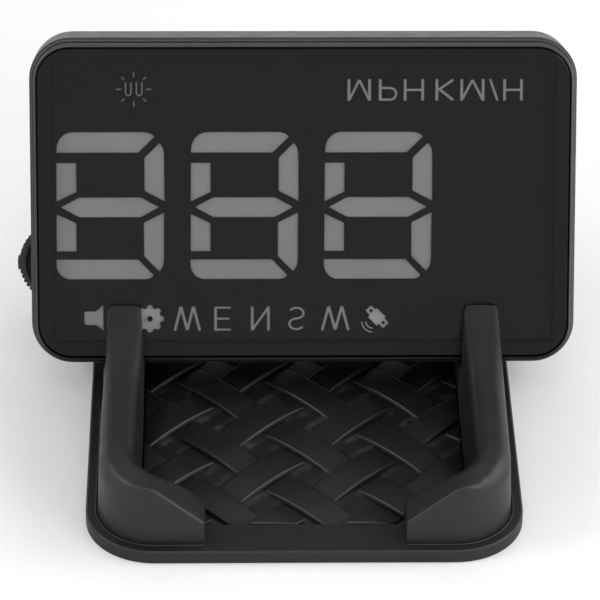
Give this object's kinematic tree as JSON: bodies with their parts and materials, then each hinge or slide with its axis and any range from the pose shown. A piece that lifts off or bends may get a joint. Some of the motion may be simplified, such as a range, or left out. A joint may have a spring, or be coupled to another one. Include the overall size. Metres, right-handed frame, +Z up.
{
  "type": "solar head-up speed display with dash stand",
  "caption": "Dash-top solar speed display: a smoked-glass digital readout leaning back in a rubber anti-slip stand, with a side jog wheel and a rear solar panel.",
  "frame": {"origin": "middle of the stand's underside, on the dashboard surface", "axes": "+Z up, the display faces -Y and leans back towards +Y, +X to the right as seen from the front"},
  "size_m": [0.0985, 0.0832, 0.0612],
  "materials": {
    "pad_rubber": "matte moulded rubber",
    "mat_rubber": "matte woven-pattern rubber",
    "sole_gel": "tacky gel",
    "rail_rubber": "satin moulded plastic",
    "lens_smoke": "smoked, glossy",
    "bezel_black": "satin",
    "trim_black": "satin",
    "cover_black": "fine satin texture",
    "adhesive": "matte",
    "mask_ink": "printed black film",
    "diffuser": "opal",
    "reflector": "white reflector",
    "pcb": "solder mask",
    "led": "yellow phosphor",
    "chip": "moulded epoxy",
    "steel": "zinc plated",
    "nickel": "nickel plated",
    "ceramic": "sintered ceramic with silver face",
    "battery": "pouch foil",
    "foam": "closed-cell foam tape",
    "wire_red": "silicone insulation",
    "plug_white": "nylon",
    "solar_cell": "dark monocrystalline",
    "solar_back": "laminate",
    "solar_clear": "clear",
    "wheel_black": "knurled",
    "jog_grey": "acetal"
  },
  "bodies": {
    "stand": {"base_pad": "pad_rubber", "weave_mat": "mat_rubber", "gel_sole": "sole_gel", "left_rail": "rail_rubber", "right_rail": "rail_rubber"},
    "display_unit": {"front_lens": "lens_smoke", "lens_gasket": "adhesive", "front_bezel": "bezel_black", "mid_frame": "trim_black", "rear_cover": "cover_black", "legend_mask": "mask_ink", "diffuser_sheet": "diffuser", "light_box": "reflector", "main_pcb": "pcb", "segment_leds": "led", "light_sensor": "chip", "pcb_screws": "steel", "case_screws": "steel", "microcontroller": "chip", "led_driver": "chip", "power_parts": "chip", "gps_antenna": "ceramic", "gps_shield": "nickel", "buzzer": "chip", "usb_c_port": "nickel", "battery_cell": "battery", "battery_tape": "foam", "battery_plug": "plug_white", "battery_leads": "wire_red", "solar_board": "solar_back", "solar_cells": "solar_cell", "solar_glass": "solar_clear", "solar_wires": "wire_red", "jog_base": "jog_grey"},
    "jog_carrier": {"jog_slider": "jog_grey", "jog_axle": "steel"},
    "jog_wheel_body": {"jog_wheel": "wheel_black"}
  },
  "joints": [
    {"name": "unit_lift", "type": "slide", "parent": "stand", "child": "display_unit", "axis": [0, 0.4195, 0.9078], "range_m": [0, 0.024]},
    {"name": "jog_press", "type": "slide", "parent": "display_unit", "child": "jog_carrier", "axis": [1, 0, 0], "range_m": [0, 0.0007], "stiffness_N_per_m": 1500},
    {"name": "jog_turn", "type": "hinge", "parent": "jog_carrier", "child": "jog_wheel_body", "pos_m": [-0.04327, 0.01868, 0.0205], "axis": [0, -0.9078, 0.4195], "range_deg": [-18, 18], "stiffness_Nm_per_rad": 0.004}
  ]
}
